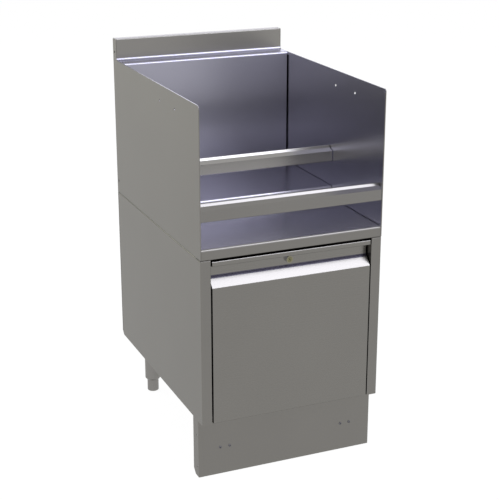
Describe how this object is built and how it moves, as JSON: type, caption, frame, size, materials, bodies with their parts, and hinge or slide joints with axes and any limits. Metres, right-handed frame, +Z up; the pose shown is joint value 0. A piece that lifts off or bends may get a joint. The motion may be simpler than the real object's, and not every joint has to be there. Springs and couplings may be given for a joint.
{
  "type": "underbar storage cabinet",
  "caption": "Stainless underbar storage cabinet: open stepped bottle station with rails over a locking pull-out drawer, on bullet-foot legs with a kick plate.",
  "frame": {"origin": "on the floor under the middle of the cabinet's width and depth", "axes": "+X to the right of someone facing the drawer, +Y from the front to the back, +Z up"},
  "size_m": [0.4572, 0.6096, 0.9652],
  "materials": {
    "panel_steel": "satin stainless sheet",
    "body_steel": "satin stainless sheet",
    "leg_steel": "satin stainless tube",
    "plated_steel": "zinc plated steel",
    "ball_steel": "polished bearing steel",
    "lock_chrome": "plated lock case",
    "lock_brass": "dull brass"
  },
  "bodies": {
    "cabinet": {"side_panel_left": "panel_steel", "side_panel_right": "panel_steel", "back_splash": "panel_steel", "rear_cover": "panel_steel", "deck_pan": "panel_steel", "rear_step": "panel_steel", "upper_rail": "panel_steel", "lower_rail": "panel_steel", "rail_rivets": "panel_steel", "body_side_left": "body_steel", "body_side_right": "body_steel", "body_back": "body_steel", "body_bottom": "body_steel", "header": "body_steel", "rear_screws": "plated_steel", "slide_bracket_left": "plated_steel", "slide_bracket_right": "plated_steel", "slide_outer_left": "plated_steel", "slide_outer_right": "plated_steel", "slide_screws": "plated_steel", "kick_plate": "body_steel", "kick_clip_left": "plated_steel", "kick_clip_right": "plated_steel", "kick_screws": "plated_steel", "leg_flanges": "leg_steel", "leg_bolts": "plated_steel", "leg_nuts": "plated_steel", "leg_front_left": "leg_steel", "leg_front_right": "leg_steel", "leg_rear_left": "leg_steel", "leg_rear_right": "leg_steel", "leg_bushes": "leg_steel"},
    "drawer": {"drawer_front": "body_steel", "drawer_liner": "body_steel", "drawer_box": "body_steel", "box_screws": "plated_steel", "slide_inner_left": "plated_steel", "slide_inner_right": "plated_steel", "drawer_slide_screws": "plated_steel", "lock_barrel": "lock_chrome", "lock_nut": "plated_steel"},
    "slide_middles": {"slide_middle_left": "plated_steel", "slide_middle_right": "plated_steel"},
    "outer_cages": {"outer_cage_left": "plated_steel", "outer_cage_right": "plated_steel", "outer_balls": "ball_steel"},
    "inner_cages": {"inner_cage_left": "plated_steel", "inner_cage_right": "plated_steel", "inner_balls": "ball_steel"},
    "lock_core": {"lock_plug": "lock_brass", "lock_cam": "plated_steel", "cam_screw": "plated_steel"},
    "foot_front_left": {"foot_front_left": "leg_steel"},
    "foot_front_right": {"foot_front_right": "leg_steel"},
    "foot_rear_left": {"foot_rear_left": "leg_steel"},
    "foot_rear_right": {"foot_rear_right": "leg_steel"}
  },
  "joints": [
    {"name": "drawer_slide", "type": "slide", "parent": "cabinet", "child": "drawer", "axis": [0, -1, 0], "range_m": [0, 0.44]},
    {"name": "middle_slide", "type": "slide", "parent": "cabinet", "child": "slide_middles", "axis": [0, -1, 0], "range_m": [0, 0.22]},
    {"name": "outer_cage_slide", "type": "slide", "parent": "cabinet", "child": "outer_cages", "axis": [0, -1, 0], "range_m": [0, 0.11]},
    {"name": "inner_cage_slide", "type": "slide", "parent": "cabinet", "child": "inner_cages", "axis": [0, -1, 0], "range_m": [0, 0.33]},
    {"name": "lock_turn", "type": "hinge", "parent": "drawer", "child": "lock_core", "pos_m": [-0.0024, -0.2748, 0.5288], "axis": [0, 1, 0], "range_deg": [0, 90]},
    {"name": "foot_front_left_screw", "type": "slide", "parent": "cabinet", "child": "foot_front_left", "axis": [0, 0, -1], "range_m": [-0.006, 0.016]},
    {"name": "foot_front_right_screw", "type": "slide", "parent": "cabinet", "child": "foot_front_right", "axis": [0, 0, -1], "range_m": [-0.006, 0.016]},
    {"name": "foot_rear_left_screw", "type": "slide", "parent": "cabinet", "child": "foot_rear_left", "axis": [0, 0, -1], "range_m": [-0.006, 0.016]},
    {"name": "foot_rear_right_screw", "type": "slide", "parent": "cabinet", "child": "foot_rear_right", "axis": [0, 0, -1], "range_m": [-0.006, 0.016]}
  ],
  "couplings": [
    {"joint": "middle_slide", "follows": "drawer_slide", "ratio": 0.5},
    {"joint": "outer_cage_slide", "follows": "drawer_slide", "ratio": 0.25},
    {"joint": "inner_cage_slide", "follows": "drawer_slide", "ratio": 0.75}
  ]
}
